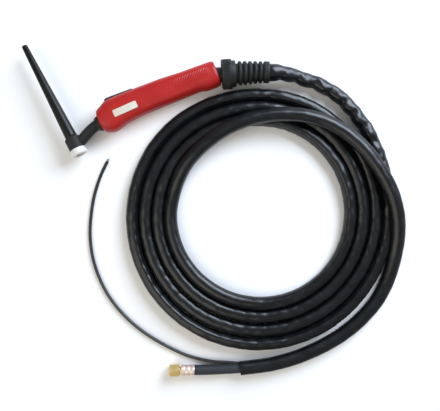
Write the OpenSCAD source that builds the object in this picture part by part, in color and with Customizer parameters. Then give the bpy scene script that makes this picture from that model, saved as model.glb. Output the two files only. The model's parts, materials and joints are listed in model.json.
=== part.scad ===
// TIG torch with a swivel handle, a long back cap and a coiled, sleeved cable.
// The torch lies on its side: +X runs from the head to the cable, +Y to the back cap, +Z is up.

/* [Handle] */
// Wall of the two handle shells
handle_wall = 2.4; // [2:0.1:2.8]
// Roundness of the handle's cross-section, where 2 is an ellipse
handle_roundness = 2.5; // [2.2:0.1:3]
// Radius of the screw bosses in the shells
boss_r = 3.2; // [3:0.1:3.5]
// Radius of the handle screws
screw_r = 1.25; // [1:0.05:1.4]
// Radius of the handle screws' heads
screw_head_r = 2.1; // [1.8:0.1:2.2]
// Length of the blank label
label_length = 31; // [26:0.5:32]
// Width of the blank label
label_width = 8.6; // [7:0.1:9]
// Thickness of the label's plate
label_thickness = 0.6; // [0.5:0.05:0.8]

/* [Trigger] */
// Width of the trigger lever
trigger_width = 9.6; // [8:0.1:9.8]
// Radius of the trigger's pin
trigger_pin_r = 1.2; // [1:0.05:1.3]
// Radius of the switch plunger
plunger_r = 0.9; // [0.7:0.05:1.1]

/* [Swivel] */
// Radius of the ball that the handle swivels on
ball_r = 12.4; // [12.3:0.05:12.4]
// Radius of the bore that the cable takes through the ball
ball_bore_r = 8.6; // [8.5:0.05:8.6]
// Radius of the stem between the ball and the collar
stem_r = 9.4; // [9.2:0.05:9.4]
// Wall of the plastic liner around the ball
liner_wall = 0.85; // [0.7:0.05:0.9]
// Angle of the cable's axis to the handle's axis at rest
swivel_rest = 17; // [15:0.5:17]
// Outer radius of the ribbed collar, which the torch rests on
collar_r = 18.5; // [18:0.1:18.5]

/* [Bellows] */
// Radius of the first rib
rib_r_first = 15; // [14:0.1:15.5]
// Radius of the last rib
rib_r_last = 13.6; // [13:0.1:14]
// Number of ribs
rib_count = 5; // [4:1:6]

/* [Head] */
// Radius of the rubber neck
neck_r = 6.7; // [6.3:0.1:7]
// Radius of the rubber moulding around the head
head_r = 9.8; // [9.4:0.1:10]
// Half the length of the moulding along the head's axis
head_half = 8.3; // [8:0.1:8.5]
// Major radius of the thread that takes the collet body, 3/8-32
collet_thread_r = 4.76; // [4.5:0.01:4.8]
// Radius of the back cap's thread
cap_thread_r = 5.1; // [5:0.05:5.1]
// Length of the back cap
cap_length = 128; // [100:1:130]
// Radius of the back cap at its base
cap_base_r = 7.5; // [7.3:0.1:7.6]
// Radius of the back cap at its tip
cap_tip_r = 3.6; // [3.2:0.1:4.5]
// Length of the white gasket that the gas nozzle seals on
gasket_length = 8.4; // [7:0.1:10]
// Radius of the gasket's bore, which the collet body passes through
gasket_bore_r = 5.8; // [5.6:0.1:6.2]

/* [Cable] */
// Radius of the sleeve over the cable
sleeve_r = 8.5; // [8:0.1:8.5]
// Radius of the power and gas cable
hose_r = 6.25; // [6:0.05:6.25]
// Radius of the control lead
lead_r = 2; // [1.8:0.05:2]
// Outer radius of the coil
coil_r = 164; // [160:0.5:164]
// Inner radius of the coil
coil_bore_r = 104; // [100:1:112]

/* [Union] */
// Radius of the crimped ferrule
ferrule_r = 6.8; // [6.6:0.1:7]
// Length of the ferrule
ferrule_length = 17; // [15:0.5:20]
// Width of the union nut across its flats
nut_af = 14; // [13:0.5:14.5]
// Length of the union nut
nut_length = 13; // [12:0.5:14]
// Radius of the union nut's thread, M12
nut_thread_r = 5.55; // [5.4:0.05:5.6]

/* [Hidden] */
$fn = 64;

// Running clearance of turning and sliding fits
fit = 0.06;
// Overrun of cutting tools past a face
over = 1;

// Place of the swivel ball's centre
ball_x = 66.3;
ball_y = -42.6;
ball_z = collar_r;

// Handle outline, measured from the ball's centre: [x, y] of its trigger edge and its lower edge
handle_top = [
    [-149.2, 8.4], [-148.4, 10.4], [-146, 12], [-135, 18.2], [-128, 19.1], [-100, 19.3],
    [-60, 18.8], [-34, 17], [-7, 16.2], [5, 15.8], [8, 14.9]
];
handle_bottom = [
    [-149.2, -14], [-148.4, -15.6], [-146, -18.8], [-141, -20.8], [-136, -21.6], [-131, -20.9],
    [-125, -19.2], [-120, -17.2], [-113, -16.5], [-100, -15.2], [-74, -14.3], [-44, -14],
    [-18, -13.6], [-10, -16], [5, -16.1], [8, -15]
];
// Half the handle's thickness along its length: [x, half thickness]
handle_half = [
    [-149.2, 13], [-148, 14.3], [-144, 15.3], [-135, 15.6], [-100, 15.3], [-90, 15],
    [-60, 14.7], [-30, 14.8], [-10, 15.7], [5, 15.7], [8, 14.8]
];
handle_stations = [
    -149.2, -148.4, -146, -143, -139, -135, -131, -128, -124, -120, -113, -106, -100,
    -90, -74, -60, -44, -34, -24, -18, -14, -10, -4, 1, 5, 8
];
cavity_front = -146.4;
cavity_rear = -19;
socket_r = ball_r + liner_wall + 2 * fit;
cable_way_r = 10.5;
rim_start = 2;
rim_start_r = 12.3;
rim_r = 14.6;

// Screws: [x, y] from the ball's centre, and their heights from the plane of the shells
screw_spots = [[-34, 12], [-78, 13], [-133, -13.5]];
boss_height = 10;
screw_seat = 8.6;
screw_head_height = 1.5;
screw_depth = 7;
screw_slot = [2.6, 0.6];
// Room for a screw's shank past its end, and around its head
screw_fit = 0.02;
head_fit = 0.2;
// The label's place, tilt and turn; its height is its underside's over the plane of the shells
label_x = -113.2;
label_y = -2.2;
label_z = 14.9;
label_tilt = 4;
label_turn = 2.5;
label_corner = 1.6;

// Trigger: the pin's place, the lever's ends and its faces
pin_x = -100.5;
pin_y = 15.8;
lever_front = -135.2;
lever_rear = -97;
lever_top = 20.9;
lever_base = 14.75;
slot_half = trigger_width / 2 + 0.5;
pin_length = 17;
pin_boss = [7, 5.5, 5.5];

// Switch: its body, the plunger on it and the saddle under it
switch_front = -133.5;
switch_base = 7.4;
switch_size = [12.8, 5.7, 5.8];
plunger_x = -130.5;
plunger_base = 12.35;
plunger_length = 2.35;
bracket_base = 6.2;
bracket_size = [13.3, 5, 24.8];
bracket_gap = 0.05;

// Head: its centre from the ball's centre, and the lean of its axis from +Y
head_x = -189.6;
head_y = -16;
cap_lean = 5.8;
core_r = 6.4;
core_half = 8;
head_bore_r = 3.2;
// Ends of the collet body's thread, of the relief behind it and of the back cap's thread
collet_thread_end = -0.2;
collet_relief_end = 0.6;
collet_relief_r = 5.1;
cap_thread_end = 1.4;
cap_base = head_half + 0.5;
cap_skirt = 1.6;
cap_way = 7;
cap_skirt_r = 6.9;
cap_way_r = 2.2;
cap_tip_wall = 3;
seal_r = 6.04;
seal_wire_r = 0.72;
neck_route = [
    [-141, -4.3, 0], [-149, -4.6, 0], [-156, -5.6, 0], [-163, -7.9, 0], [-170, -11, 0],
    [-176, -14.2, 0], [-182, -17.4, 0], [-186, -18.8, 0]
];
tube_route = [
    [-122, -2.8, 0], [-132, -2.9, 0], [-142, -4.3, 0], [-149, -4.6, 0], [-156, -5.6, 0],
    [-163, -7.9, 0], [-170, -11, 0], [-176, -14.2, 0], [-182.6, -17.6, 0]
];
tube_r = 3.2;
cuff_place = [-149.4, -4.75, 0];
cuff_length = 6.2;

// Inside the handle: the connector's front end, and the cable's height and ends
connector_x = -129;
connector_hex = 10;
connector_length = 22;
connector_hex_r = 5.2;
connector_r = 4.2;
cable_y = -2.8;
cable_front = -118.5;
cable_rear = -14.5;

// Swivel and bellows, measured from the ball's centre along the cable's axis
collar_front = 13.8;
collar_step = 26.8;
collar_rear = 31.6;
bellows_rear = 73.5;
bellows_bend = 4.5;
bellows_bore_r = 9;
first_rib = 36.9;
last_rib = 62.5;
end_ring_front = 66.6;
groove_depth = 2.9;
end_ring_r = 13.3;
liner_front = -6;
liner_rear = 3.8;
// The power cable and the control lead side by side through the ball and the bellows
hose_offset = -2.2;
lead_offset = 6.3;
inner_route = [-8.4, 12, 31, 45, 59, bellows_rear];

// Routes of the free cables on the floor, from the torch to their ends
lead_in_route = [
    [135.9, -65.6, 18.4], [142, -68, 17.8], [150, -71.4, 16.3], [160, -76.5, 13.4],
    [172, -84.7, 10], [184.3, -94.8, 8.5], [197.4, -107.5, 8.5], [208.2, -122.6, 8.5],
    [216.3, -139.7, 8.5], [222.3, -158, 8.5], [226.6, -176.7, 8.5], [228.6, -196.8, 8.5]
];
lead_out_route = [
    [-45, -185.5, 8.5], [-38.8, -173.6, 8.6], [-31.3, -162.8, 9.5], [-19.3, -148.8, 13],
    [-4.3, -135.8, 17.5], [13.7, -125.8, 20.5], [35.7, -117.8, 22.5], [59.7, -112.8, 24.5],
    [83.7, -111.8, 25.6], [107.7, -114.8, 25.6], [131.7, -121.8, 25.6], [154.7, -132.8, 25.6],
    [175.2, -147.8, 25.6], [191.7, -166.3, 25.6], [204.7, -188.1, 25.6], [213.7, -212.3, 25.6],
    [219.5, -238.8, 25.4], [221.5, -266.3, 24], [218.5, -292.6, 20.5], [210.5, -318.3, 15],
    [198, -341.8, 10], [181.2, -363.8, 8.5], [158.7, -383.3, 8.5], [132.2, -397.4, 8.5],
    [102.7, -407.3, 8.5], [71.2, -412.2, 8.5], [39.7, -413.3, 8.5], [7.7, -410.3, 8.5],
    [-34.6, -400.1, 8.5]
];
power_route = [
    [9.7, -410, 8.3], [-12.3, -405.6, 8.2], [-34.6, -400.1, 8], [-55.6, -393.5, 7.4],
    [-75.6, -386.5, 7.7], [-92.6, -380, 8.2]
];
control_route = [
    [-26.4, -397, 6.8], [-33.3, -394.6, 6.2], [-46.4, -388.9, 5], [-58.1, -383.7, 4.6],
    [-69.6, -377.9, 3.6],
    [-80.8, -371, 2.4], [-91.5, -363, 2], [-103.4, -351.3, 2], [-118.7, -333.8, 2],
    [-134.8, -311.5, 2], [-148.9, -284.2, 2], [-158.7, -251.1, 2], [-160.9, -225.3, 2],
    [-159.2, -201.1, 2], [-153, -175.9, 2], [-139.8, -146.5, 2], [-125.2, -123.2, 2],
    [-109.4, -104.6, 2], [-96.5, -92.5, 2]
];
coil_x = 57.7;
coil_y = -227.8;
// The union's place on the floor and its direction
union_start = [-89.2, -381.5, 8.4];
union_angle = 158.5;
// Bared cores at the control lead's end
core_length = 3.6;
core_wire_r = 0.65;
core_aside = 0.75;

// Union: the ferrule's socket for the cable, the nipple, and the nut's back wall and its gap
ferrule_socket = 5;
nipple_r = 4.4;
nipple_bore_r = 2.5;
nipple_start = 5.2;
nut_wall = 2.6;
nut_gap = 2;
nut_turn = 12;
// Undercut behind the nut's thread, where the nipple's head sits
nut_relief_r = 5.9;
nut_relief = 5;

// ---------- Shared shapes ----------

// A number's power that keeps its sign
function signed_power(value, exponent) = sign(value) * pow(abs(value), exponent);

// One point of the handle's cross-section at x, drawn in by inset, at an angle
function handle_point(x, inset, angle) =
    let (
        top = lookup(x, handle_top) - inset,
        bottom = lookup(x, handle_bottom) + inset,
        half = lookup(x, handle_half) - inset,
        power = 2 / handle_roundness
    )
    [
        x,
        (top + bottom) / 2 + (top - bottom) / 2 * signed_power(cos(angle), power),
        half * signed_power(sin(angle), power)
    ];

// Faces of a skin over count rings of sides points, closed at both ends
function skin_faces(count, sides) = concat(
    [for (i = [0 : count - 2], j = [0 : sides - 1])
        [i * sides + j, i * sides + (j + 1) % sides, (i + 1) * sides + (j + 1) % sides]],
    [for (i = [0 : count - 2], j = [0 : sides - 1])
        [i * sides + j, (i + 1) * sides + (j + 1) % sides, (i + 1) * sides + j]],
    [[for (j = [sides - 1 : -1 : 0]) j]],
    [[for (j = [0 : sides - 1]) (count - 1) * sides + j]]
);

module skin(rings) {
    sides = len(rings[0]);
    polyhedron([for (ring = rings) each ring], skin_faces(len(rings), sides), convexity = 6);
}

function unit(v) = v / norm(v);

// Direction of a route at its i-th point
function heading(route, i) =
    unit(route[min(i + 1, len(route) - 1)] - route[max(i - 1, 0)]);

// A round section of radius r about the i-th point of a route
function route_ring(route, i, r, sides) =
    let (
        along = heading(route, i),
        side = unit(cross(along, [0, 0, 1])),
        up = cross(side, along)
    )
    [for (j = [0 : sides - 1])
        route[i] + r * (cos(360 * j / sides) * side + sin(360 * j / sides) * up)];

// A tube through the points of a route, with one radius or one for each point
module swept(route, radius, sides) {
    skin([for (i = [0 : len(route) - 1])
        route_ring(route, i, is_list(radius) ? radius[i] : radius, sides)]);
}

module at_ball() {
    translate([ball_x, ball_y, ball_z]) children();
}

// Along the head's axis, with +Z to the back cap's tip
module at_head() {
    at_ball() translate([head_x, head_y, 0]) rotate([0, 0, cap_lean]) rotate([-90, 0, 0]) children();
}

// A point on the cable's axis, a distance from the ball's centre and to one side
function bend_at(d) = bellows_bend * max(0, d - collar_rear) / (bellows_rear - collar_rear);
function axis_point(d, aside) =
    let (
        straight = min(d, collar_rear),
        bent = max(0, d - collar_rear),
        angle = -(swivel_rest + bend_at(d)),
        chord = -(swivel_rest + bend_at(d) / 2)
    )
    [
        straight * cos(-swivel_rest) + bent * cos(chord) - aside * sin(angle),
        straight * sin(-swivel_rest) + bent * sin(chord) + aside * cos(angle),
        0
    ];

// Along the cable's axis through the ball, with +Z away from the handle
module at_collar() {
    at_ball() rotate([0, 0, -swivel_rest]) rotate([0, 90, 0]) children();
}

module at_union() {
    translate(union_start) rotate([0, 0, union_angle]) rotate([0, 90, 0]) children();
}

// ---------- Handle ----------

module handle_half_skin() {
    skin([for (x = handle_stations) [for (a = [180 : -12 : 0]) handle_point(x, 0, a)]]);
}

module handle_cavity() {
    stations = concat(
        [cavity_front],
        [for (x = handle_stations) if (x > cavity_front && x < cavity_rear) x],
        [cavity_rear]
    );
    skin([for (x = stations) [for (a = [345 : -15 : 0]) handle_point(x, handle_wall, a)]]);
}

// Seat for the ball, with room for the cable in front and the stem behind, turned in one piece
module socket_cut() {
    rotate([0, 90, 0]) rotate_extrude() intersection() {
        union() {
            circle(r = socket_r);
            translate([0, cavity_rear - over]) square([cable_way_r, over - cavity_rear]);
            polygon([[0, 0], [rim_start_r, rim_start], [rim_r, 9], [0, 9]]);
        }
        translate([0, -40]) square([40, 80]);
    }
}

module trigger_slot() {
    translate([lever_front - 0.8, lever_base - 3, -slot_half])
        cube([lever_rear - lever_front + 1.6, 12, 2 * slot_half]);
}

// Both shells share their wall, bosses, slot and pin holes
module half_shell() {
    difference() {
        union() {
            difference() {
                handle_half_skin();
                handle_cavity();
            }
            for (spot = screw_spots)
                translate([spot[0], spot[1], 0]) cylinder(r = boss_r, h = boss_height);
            translate([pin_x - pin_boss[0] / 2, pin_y - pin_boss[0] / 2, slot_half]) cube(pin_boss);
        }
        socket_cut();
        trigger_slot();
        translate([pin_x, pin_y, -over])
            cylinder(r = trigger_pin_r + screw_fit, h = pin_length / 2 + 0.5 + over);
        translate([cavity_front + 6, neck_route[1][1], 0])
            rotate([0, -90, 0]) cylinder(r = neck_r + 0.2, h = 12);
    }
}

module handle_upper_shell() {
    color("firebrick") at_ball() difference() {
        half_shell();
        for (spot = screw_spots)
            translate([spot[0], spot[1], -over]) cylinder(r = screw_r + screw_fit, h = screw_depth + over);
        label_block(fit, 4);
    }
}

module handle_lower_shell() {
    color("firebrick") at_ball() mirror([0, 0, 1]) difference() {
        half_shell();
        for (spot = screw_spots)
            translate([spot[0], spot[1], 0]) {
                translate([0, 0, -over]) cylinder(r = screw_r + 0.1, h = 20);
                translate([0, 0, screw_seat]) cylinder(r = screw_head_r + head_fit, h = 12);
            }
    }
}

module handle_screws() {
    color("dimgray") at_ball() for (spot = screw_spots)
        translate([spot[0], spot[1], 0]) difference() {
            union() {
                translate([0, 0, -screw_seat]) cylinder(r = screw_r, h = screw_seat + screw_depth - 0.6);
                translate([0, 0, -screw_seat - screw_head_height])
                    cylinder(r = screw_head_r, h = screw_head_height);
            }
            for (turn = [0, 90])
                rotate([0, 0, turn])
                    translate([-screw_slot[0] / 2, -screw_slot[1] / 2, -screw_seat - screw_head_height - 0.2])
                        cube([screw_slot[0], screw_slot[1], 1]);
        }
}

// The label's outline, widened by gap, at its place on the upper shell
module label_block(gap, height) {
    translate([label_x, label_y, label_z]) rotate([label_tilt, 0, label_turn])
        linear_extrude(height) offset(label_corner + gap)
            square([label_length - 2 * label_corner, label_width - 2 * label_corner], center = true);
}

module label_plate() {
    color("ivory") at_ball() label_block(0, label_thickness);
}

// ---------- Trigger ----------

module trigger_lever() {
    color([0.1, 0.1, 0.1]) at_ball() difference() {
        translate([0, 0, -trigger_width / 2]) linear_extrude(trigger_width) polygon([
            [lever_front, 18.3], [lever_front + 1, 20.1], [lever_front + 4, lever_top],
            [lever_rear - 3.2, 20.3], [lever_rear, 20], [lever_rear, 14.2],
            [pin_x - 4, 13.4], [pin_x - 6, lever_base], [lever_front + 0.6, lever_base],
            [lever_front, 15.4]
        ]);
        translate([pin_x, pin_y, 0])
            cylinder(r = trigger_pin_r + fit, h = trigger_width + 2 * over, center = true);
    }
}

module trigger_pin() {
    color("silver") at_ball() translate([pin_x, pin_y, 0])
        cylinder(r = trigger_pin_r, h = pin_length, center = true);
}

module microswitch() {
    color([0.15, 0.15, 0.16]) at_ball() difference() {
        union() {
            translate([switch_front, switch_base, -switch_size[2] / 2]) cube(switch_size);
            for (x = [9, 11.3])
                translate([switch_front + x, switch_base - 1.7, -0.6]) cube([0.6, 2, 1.2]);
        }
        translate([plunger_x, plunger_base - 1.35, 0])
            rotate([-90, 0, 0]) cylinder(r = plunger_r + fit, h = 5);
    }
}

module switch_plunger() {
    color("white") at_ball() translate([plunger_x, plunger_base, 0])
        rotate([-90, 0, 0]) cylinder(r = plunger_r, h = plunger_length);
}

// Saddle that carries the switch between the shells
module switch_bracket() {
    color([0.12, 0.12, 0.12]) at_ball() difference() {
        translate([switch_front - 0.5, bracket_base, -bracket_size[2] / 2]) cube(bracket_size);
        translate([switch_front - bracket_gap, switch_base - 0.02, -switch_size[2] / 2 - bracket_gap])
            cube([switch_size[0] + 2 * bracket_gap, 5, switch_size[2] + 2 * bracket_gap]);
        translate([switch_front + 7.5, bracket_base - 1.2, -1.4]) cube([7, 4, 2.8]);
    }
}

// ---------- Head ----------

// Brass body with a thread at each end: the collet body's in front, the back cap's behind
module torch_head() {
    color("goldenrod") at_head() difference() {
        cylinder(r = core_r, h = 2 * core_half, center = true);
        cylinder(r = head_bore_r, h = 2 * core_half, center = true);
        translate([0, 0, -core_half - over])
            cylinder(r = collet_thread_r, h = core_half + over + collet_thread_end);
        translate([0, 0, collet_thread_end])
            cylinder(r = collet_relief_r, h = collet_relief_end - collet_thread_end);
        translate([0, 0, cap_thread_end]) cylinder(r = cap_thread_r + fit, h = core_half);
    }
}

module head_moulding() {
    color([0.1, 0.1, 0.11]) difference() {
        union() {
            at_head() rotate_extrude() polygon([
                [0, -head_half], [head_r, -head_half], [head_r, head_half - 2.2],
                [cap_base_r + 0.1, head_half], [0, head_half]
            ]);
            at_ball() swept(neck_route, neck_r, 20);
        }
        at_head() cylinder(r = core_r, h = 4 * head_half, center = true);
        at_ball() swept(tube_route, tube_r + 0.1, 10);
    }
}

// Gas and current pipe from the crimp connector to the head
module neck_tube() {
    color("peru") difference() {
        at_ball() swept(tube_route, tube_r, 10);
        at_head() cylinder(r = core_r, h = 4 * head_half, center = true);
    }
}

module neck_cuff() {
    color([0.1, 0.1, 0.11]) at_ball() translate(cuff_place) rotate([0, -90, 0]) difference() {
        cylinder(r1 = 10, r2 = 7.9, h = cuff_length);
        translate([0, 0, -over]) cylinder(r = neck_r + 0.4, h = cuff_length + 2 * over);
    }
}

module cup_gasket() {
    end = -head_half - gasket_length;
    color("white") at_head() rotate_extrude() polygon([
        [gasket_bore_r, -head_half], [9.5, -head_half], [9.5, -head_half - 3.4],
        [10.3, -head_half - 4], [10.3, end + 1.6], [8.6, end], [gasket_bore_r, end]
    ]);
}

module back_cap() {
    tip = cap_base + cap_length;
    color([0.08, 0.08, 0.09]) at_head() rotate_extrude() polygon([
        [cap_skirt_r, cap_base], [cap_base_r - 0.2, cap_base], [cap_base_r, cap_base + 0.4],
        [cap_tip_r, tip - 1.2], [cap_tip_r - 0.35, tip - 0.35], [cap_tip_r - 1.2, tip], [0, tip],
        [0, tip - cap_tip_wall], [cap_way_r, tip - cap_tip_wall], [cap_way_r, cap_base + cap_way],
        [cap_thread_r, cap_base + cap_way], [cap_thread_r, cap_base + cap_skirt],
        [cap_skirt_r, cap_base + cap_skirt]
    ]);
}

// Threaded brass insert, moulded into the cap
module back_cap_insert() {
    color("goldenrod") at_head() difference() {
        translate([0, 0, cap_thread_end + 0.4])
            cylinder(r = cap_thread_r, h = cap_base + cap_way - cap_thread_end - 0.4);
        cylinder(r = cap_way_r, h = 2 * (cap_base + cap_way));
    }
}

module back_cap_seal() {
    color([0.2, 0.2, 0.2]) at_head() translate([0, 0, cap_base + 0.78])
        rotate_extrude() translate([seal_r, 0]) circle(r = seal_wire_r, $fn = 24);
}

// ---------- Inside the handle ----------

module crimp_connector() {
    color("goldenrod") at_ball() translate([connector_x, cable_y, 0]) rotate([0, 90, 0]) difference() {
        union() {
            cylinder(r = connector_hex_r, h = connector_hex, $fn = 6);
            translate([0, 0, connector_hex])
                cylinder(r = connector_r, h = connector_length - connector_hex);
        }
        translate([0, 0, -over]) cylinder(r = tube_r + 0.25, h = 8);
        cylinder(r = cap_way_r, h = connector_length + over);
    }
}

module cable_in_handle() {
    depth = connector_x + connector_length - cable_front + 0.5;
    color([0.16, 0.18, 0.22]) at_ball() translate([cable_front, cable_y, 0]) rotate([0, 90, 0]) difference() {
        cylinder(r = hose_r, h = cable_rear - cable_front);
        translate([0, 0, -over]) cylinder(r = connector_r + 0.05, h = depth + over);
    }
}

module lead_in_handle() {
    route = [[-15, 7, 0], [-40, 6.6, 0], [-80, 6.8, 0], [-108, 7.6, 0], [-120.4, 9.6, 0]];
    color([0.1, 0.1, 0.1]) at_ball() swept(route, lead_r, 8);
}

// ---------- Swivel and bellows ----------

module ball_liner() {
    color("whitesmoke") at_ball() rotate([0, 90, 0]) difference() {
        sphere(r = ball_r + fit + liner_wall);
        sphere(r = ball_r + fit);
        translate([0, 0, liner_rear]) cylinder(r = 20, h = 20);
        translate([0, 0, liner_front - 20]) cylinder(r = 20, h = 20);
    }
}

module swivel_ball() {
    color([0.07, 0.07, 0.07]) at_collar() difference() {
        union() {
            sphere(r = ball_r);
            cylinder(r = stem_r, h = collar_step);
        }
        translate([0, 0, -20]) cylinder(r = ball_bore_r, h = 60);
    }
}

module ribbed_collar() {
    color([0.09, 0.09, 0.1]) at_collar() rotate_extrude($fn = 96) polygon([
        [stem_r, collar_front], [17.2, collar_front], [collar_r, collar_front + 1.6],
        [collar_r, collar_step - 1], [collar_r - 1, collar_step], [16.3, collar_step],
        [16.3, collar_rear - 0.8], [15.5, collar_rear], [bellows_bore_r, collar_rear],
        [bellows_bore_r, collar_step], [stem_r, collar_step]
    ]);
}

// Radius of the bellows at a distance along its axis: ribs with grooves between them
function bellows_radius(d) =
    let (
        pitch = (last_rib - first_rib) / (rib_count - 1),
        nearest = min(rib_count - 1, max(0, round((d - first_rib) / pitch))),
        away = abs(d - first_rib - nearest * pitch) / (pitch / 2),
        rib = rib_r_first + (rib_r_last - rib_r_first) * nearest / (rib_count - 1),
        groove = rib - groove_depth
    )
    d > end_ring_front ? end_ring_r : groove + (rib - groove) * max(0, 1 - pow(min(away, 1), 2.4));

module bellows() {
    steps = concat(
        [collar_rear],
        [for (d = [collar_rear + 1 : 0.8 : end_ring_front - 0.4]) d],
        [end_ring_front, end_ring_front + 0.2, bellows_rear - 1, bellows_rear]
    );
    route = [for (d = steps) axis_point(d, 0)];
    radii = [for (d = steps) bellows_radius(d) - (d == bellows_rear ? 0.8 : 0)];
    bore = concat(
        [for (d = [collar_rear - 1 : 7 : bellows_rear - 4]) axis_point(d, 0)],
        [axis_point(bellows_rear + 2, 0)]
    );
    color([0.1, 0.1, 0.11]) at_ball() difference() {
        swept(route, radii, 36);
        swept(bore, bellows_bore_r, 20);
    }
}

module cable_in_bellows() {
    color([0.16, 0.18, 0.22]) at_ball()
        swept([for (d = inner_route) axis_point(d, hose_offset)], hose_r, 12);
}

module lead_in_bellows() {
    color([0.1, 0.1, 0.1]) at_ball()
        swept([for (d = inner_route) axis_point(d, lead_offset)], lead_r, 8);
}

// ---------- Cable on the floor ----------

module sleeve_lead_in() {
    color([0.07, 0.08, 0.11]) swept(lead_in_route, sleeve_r, 10);
}

// The sleeve's turns, wound side by side into a flat ring
module sleeve_coil() {
    edge = 5;
    width = coil_r - coil_bore_r;
    color([0.07, 0.08, 0.11]) translate([coil_x, coil_y, 0]) rotate_extrude($fn = 120)
        translate([coil_bore_r, 0]) polygon([
            [edge, 0], [width - edge, 0], [width, edge], [width, 2 * sleeve_r - edge],
            [width - edge, 2 * sleeve_r], [edge, 2 * sleeve_r], [0, 2 * sleeve_r - edge], [0, edge]
        ]);
}

module sleeve_lead_out() {
    color([0.07, 0.08, 0.11]) swept(lead_out_route, sleeve_r, 10);
}

module power_cable() {
    color([0.2, 0.23, 0.28]) swept(power_route, hose_r, 10);
}

module hose_ferrule() {
    color("rosybrown") at_union() difference() {
        cylinder(r = ferrule_r, h = ferrule_length);
        translate([0, 0, -over]) cylinder(r = hose_r + 0.1, h = ferrule_socket + over);
        cylinder(r = nipple_r, h = 2 * ferrule_length);
    }
}

// Barbed nipple with the cone that the union nut pulls into its seat
module union_nipple() {
    seat = ferrule_length + nut_gap + nut_wall + 0.1;
    color("goldenrod") at_union() rotate_extrude() polygon([
        [nipple_bore_r, nipple_start], [nipple_r, nipple_start], [nipple_r, seat], [5.2, seat],
        [5.2, seat + 1.8], [3.4, seat + 4.4], [nipple_bore_r, seat + 4.4]
    ]);
}

module union_nut() {
    start = ferrule_length + nut_gap;
    corner_r = nut_af / 2 / cos(30);
    face_r = nut_af / 2 - 0.3;
    chamfer_r = nut_af / 2 + 2.2;
    chamfer = 1.7;
    color("gold") at_union() difference() {
        intersection() {
            translate([0, 0, start]) rotate([0, 0, nut_turn])
                cylinder(r = corner_r, h = nut_length, $fn = 6);
            translate([0, 0, start]) rotate_extrude() polygon([
                [0, 0], [face_r, 0], [chamfer_r, chamfer], [chamfer_r, nut_length - chamfer],
                [face_r, nut_length], [0, nut_length]
            ]);
        }
        translate([0, 0, start - over]) cylinder(r = nipple_r + fit, h = 20);
        translate([0, 0, start + nut_wall]) cylinder(r = nut_relief_r, h = nut_relief);
        translate([0, 0, start + nut_wall]) cylinder(r = nut_thread_r, h = 20);
    }
}

module control_lead() {
    color([0.08, 0.08, 0.09]) swept(control_route, lead_r, 8);
}

// Two bared cores at the end of the control lead
module control_wires() {
    last = len(control_route) - 1;
    along = control_route[last] - control_route[last - 1];
    color("gray") translate(control_route[last]) rotate([0, 0, atan2(along[1], along[0])])
        rotate([0, 90, 0])
            for (side = [-1, 1])
                translate([0, side * core_aside, 0])
                    cylinder(r = core_wire_r, h = core_length, $fn = 16);
}

handle_upper_shell();
handle_lower_shell();
handle_screws();
label_plate();
trigger_lever();
trigger_pin();
microswitch();
switch_plunger();
switch_bracket();
torch_head();
head_moulding();
neck_tube();
neck_cuff();
cup_gasket();
back_cap();
back_cap_insert();
back_cap_seal();
crimp_connector();
cable_in_handle();
lead_in_handle();
ball_liner();
swivel_ball();
ribbed_collar();
bellows();
cable_in_bellows();
lead_in_bellows();
sleeve_lead_in();
sleeve_coil();
sleeve_lead_out();
power_cable();
hose_ferrule();
union_nipple();
union_nut();
control_lead();
control_wires();
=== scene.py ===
import json
import math

import bmesh
import bpy
import numpy as np
from mathutils import Matrix, Vector


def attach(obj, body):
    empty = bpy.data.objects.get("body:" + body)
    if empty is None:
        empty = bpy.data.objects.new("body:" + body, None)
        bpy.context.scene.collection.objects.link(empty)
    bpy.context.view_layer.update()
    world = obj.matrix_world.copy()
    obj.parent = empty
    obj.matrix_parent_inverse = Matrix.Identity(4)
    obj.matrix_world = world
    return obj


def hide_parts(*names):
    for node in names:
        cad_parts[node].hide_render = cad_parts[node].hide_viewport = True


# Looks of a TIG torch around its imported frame.
# Tables are in millimetres, and make_object turns them into metres. Materials, lights and the
# camera are in metres. The handle's tables are measured from the swivel ball's centre.
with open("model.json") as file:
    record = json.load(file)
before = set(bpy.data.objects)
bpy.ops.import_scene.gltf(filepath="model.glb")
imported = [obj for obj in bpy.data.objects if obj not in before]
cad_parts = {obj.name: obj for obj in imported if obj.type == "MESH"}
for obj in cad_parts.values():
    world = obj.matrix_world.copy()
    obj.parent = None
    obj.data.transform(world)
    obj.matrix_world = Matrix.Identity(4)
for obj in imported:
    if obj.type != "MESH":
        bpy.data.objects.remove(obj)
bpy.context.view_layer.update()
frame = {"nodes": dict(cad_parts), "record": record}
MM = 0.001
# Faces narrower than this are dissolved
SLIVER = 0.002

# ---------- Places shared with the CAD model, in millimetres ----------

BALL = np.array([66.3, -42.6, 18.5])
SWIVEL_REST = math.radians(17)
CABLE_AXIS = np.array([math.cos(SWIVEL_REST), -math.sin(SWIVEL_REST), 0.0])
CAP_LEAN = math.radians(5.8)
HEAD_AXIS = np.array([-math.sin(CAP_LEAN), math.cos(CAP_LEAN), 0.0])
HEAD_CENTRE = BALL + np.array([-189.6, -16.0, 0.0])
COIL_CENTRE = np.array([57.7, -226.0])
COIL_START_R = 166.4
COIL_PITCH = 15.9
COIL_START_ANGLE = -21.5
COIL_TURNS = 3.5
SLEEVE_R = 8.5
HOSE_R = 6.25
LEAD_R = 2.0
UNION_START = np.array([-89.2, -381.5, 8.4])
UNION_ANGLE = math.radians(158.5)

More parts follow.
